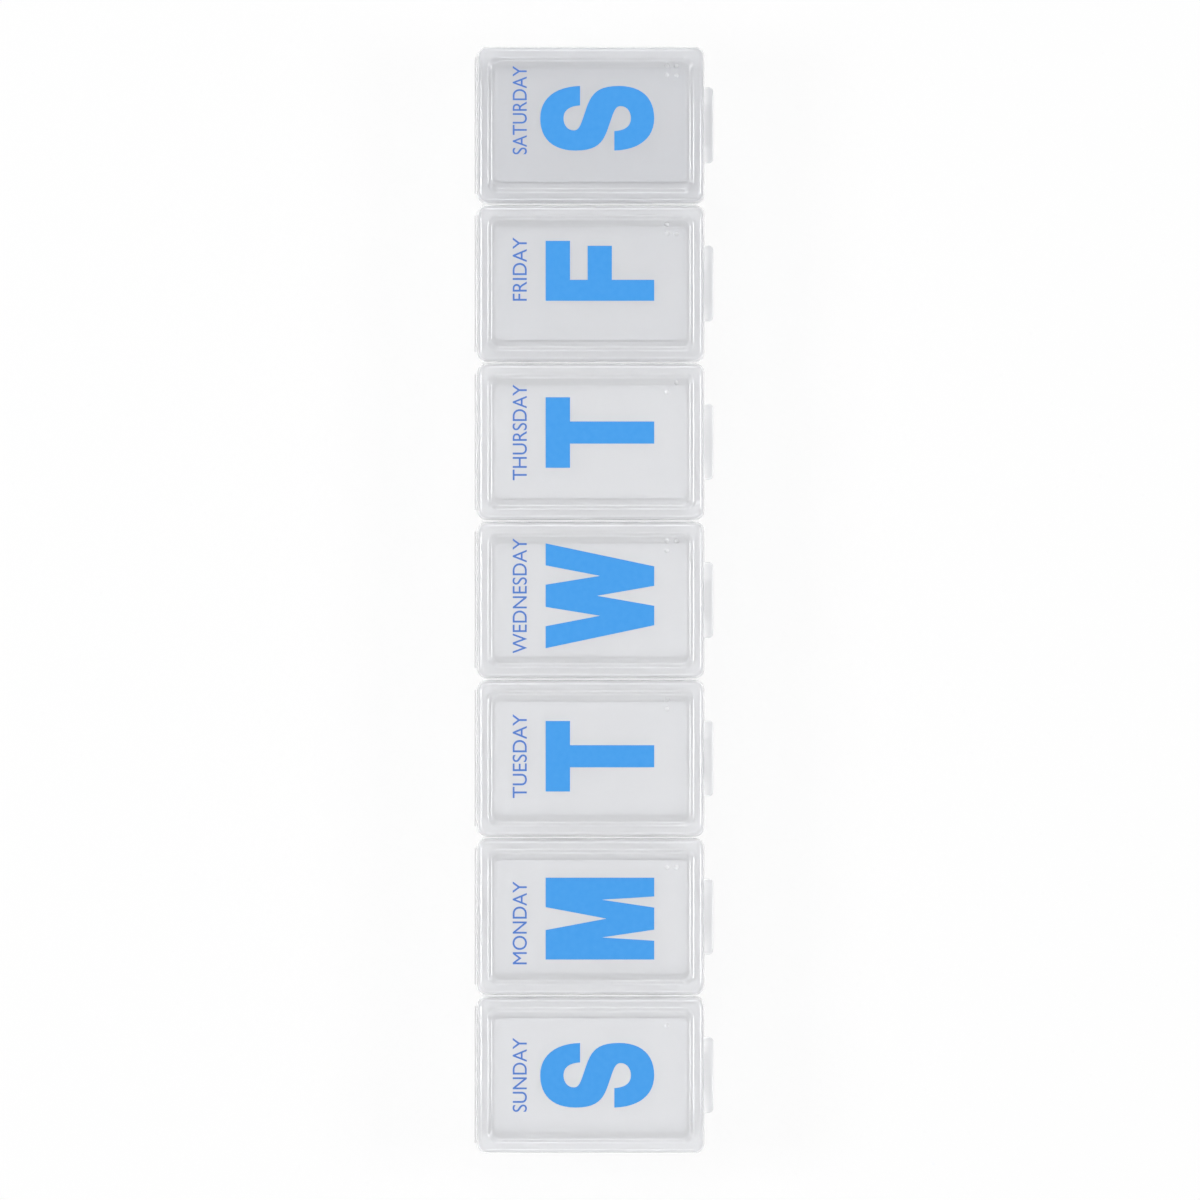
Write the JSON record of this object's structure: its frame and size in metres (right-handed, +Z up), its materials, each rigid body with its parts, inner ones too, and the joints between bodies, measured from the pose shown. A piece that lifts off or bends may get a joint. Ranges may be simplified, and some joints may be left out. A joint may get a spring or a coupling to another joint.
{
  "type": "weekly pill organizer",
  "caption": "Long row of joined, frosted translucent pill cups, each with its own snap lid on a living hinge, a thumb tab, a raised-dot number and a printed weekday initial.",
  "frame": {"origin": "middle of the bounding box on the plane that the cups stand on", "axes": "+X along the row from Sunday to Saturday, -Y the side of the thumb tabs, +Y the side of the hinges, +Z up"},
  "size_m": [0.216, 0.0466, 0.0282],
  "materials": {
    "tray_plastic": "frosted translucent polypropylene",
    "lid_plastic": "frosted translucent polypropylene, smooth",
    "blue_ink": "pad-printed ink"
  },
  "bodies": {
    "tray": {"cup_sunday": "tray_plastic", "cup_monday": "tray_plastic", "cup_tuesday": "tray_plastic", "cup_wednesday": "tray_plastic", "cup_thursday": "tray_plastic", "cup_friday": "tray_plastic", "cup_saturday": "tray_plastic", "hinge_web_sunday": "lid_plastic", "hinge_web_monday": "lid_plastic", "hinge_web_tuesday": "lid_plastic", "hinge_web_wednesday": "lid_plastic", "hinge_web_thursday": "lid_plastic", "hinge_web_friday": "lid_plastic", "hinge_web_saturday": "lid_plastic"},
    "lid_sunday": {"lid_sunday": "lid_plastic", "initial_sunday": "blue_ink"},
    "lid_monday": {"lid_monday": "lid_plastic", "initial_monday": "blue_ink"},
    "lid_tuesday": {"lid_tuesday": "lid_plastic", "initial_tuesday": "blue_ink"},
    "lid_wednesday": {"lid_wednesday": "lid_plastic", "initial_wednesday": "blue_ink"},
    "lid_thursday": {"lid_thursday": "lid_plastic", "initial_thursday": "blue_ink"},
    "lid_friday": {"lid_friday": "lid_plastic", "initial_friday": "blue_ink"},
    "lid_saturday": {"lid_saturday": "lid_plastic", "initial_saturday": "blue_ink"}
  },
  "joints": [
    {"name": "lid_hinge_sunday", "type": "hinge", "parent": "tray", "child": "lid_sunday", "pos_m": [-0.0927, 0.02335, 0.0251], "axis": [-1, 0, 0], "range_deg": [0, 180], "deforming": ["hinge_web_sunday"]},
    {"name": "lid_hinge_monday", "type": "hinge", "parent": "tray", "child": "lid_monday", "pos_m": [-0.0618, 0.02335, 0.0251], "axis": [-1, 0, 0], "range_deg": [0, 180], "deforming": ["hinge_web_monday"]},
    {"name": "lid_hinge_tuesday", "type": "hinge", "parent": "tray", "child": "lid_tuesday", "pos_m": [-0.0309, 0.02335, 0.0251], "axis": [-1, 0, 0], "range_deg": [0, 180], "deforming": ["hinge_web_tuesday"]},
    {"name": "lid_hinge_wednesday", "type": "hinge", "parent": "tray", "child": "lid_wednesday", "pos_m": [0, 0.02335, 0.0251], "axis": [-1, 0, 0], "range_deg": [0, 180], "deforming": ["hinge_web_wednesday"]},
    {"name": "lid_hinge_thursday", "type": "hinge", "parent": "tray", "child": "lid_thursday", "pos_m": [0.0309, 0.02335, 0.0251], "axis": [-1, 0, 0], "range_deg": [0, 180], "deforming": ["hinge_web_thursday"]},
    {"name": "lid_hinge_friday", "type": "hinge", "parent": "tray", "child": "lid_friday", "pos_m": [0.0618, 0.02335, 0.0251], "axis": [-1, 0, 0], "range_deg": [0, 180], "deforming": ["hinge_web_friday"]},
    {"name": "lid_hinge_saturday", "type": "hinge", "parent": "tray", "child": "lid_saturday", "pos_m": [0.0927, 0.02335, 0.0251], "axis": [-1, 0, 0], "range_deg": [0, 180], "deforming": ["hinge_web_saturday"]}
  ]
}
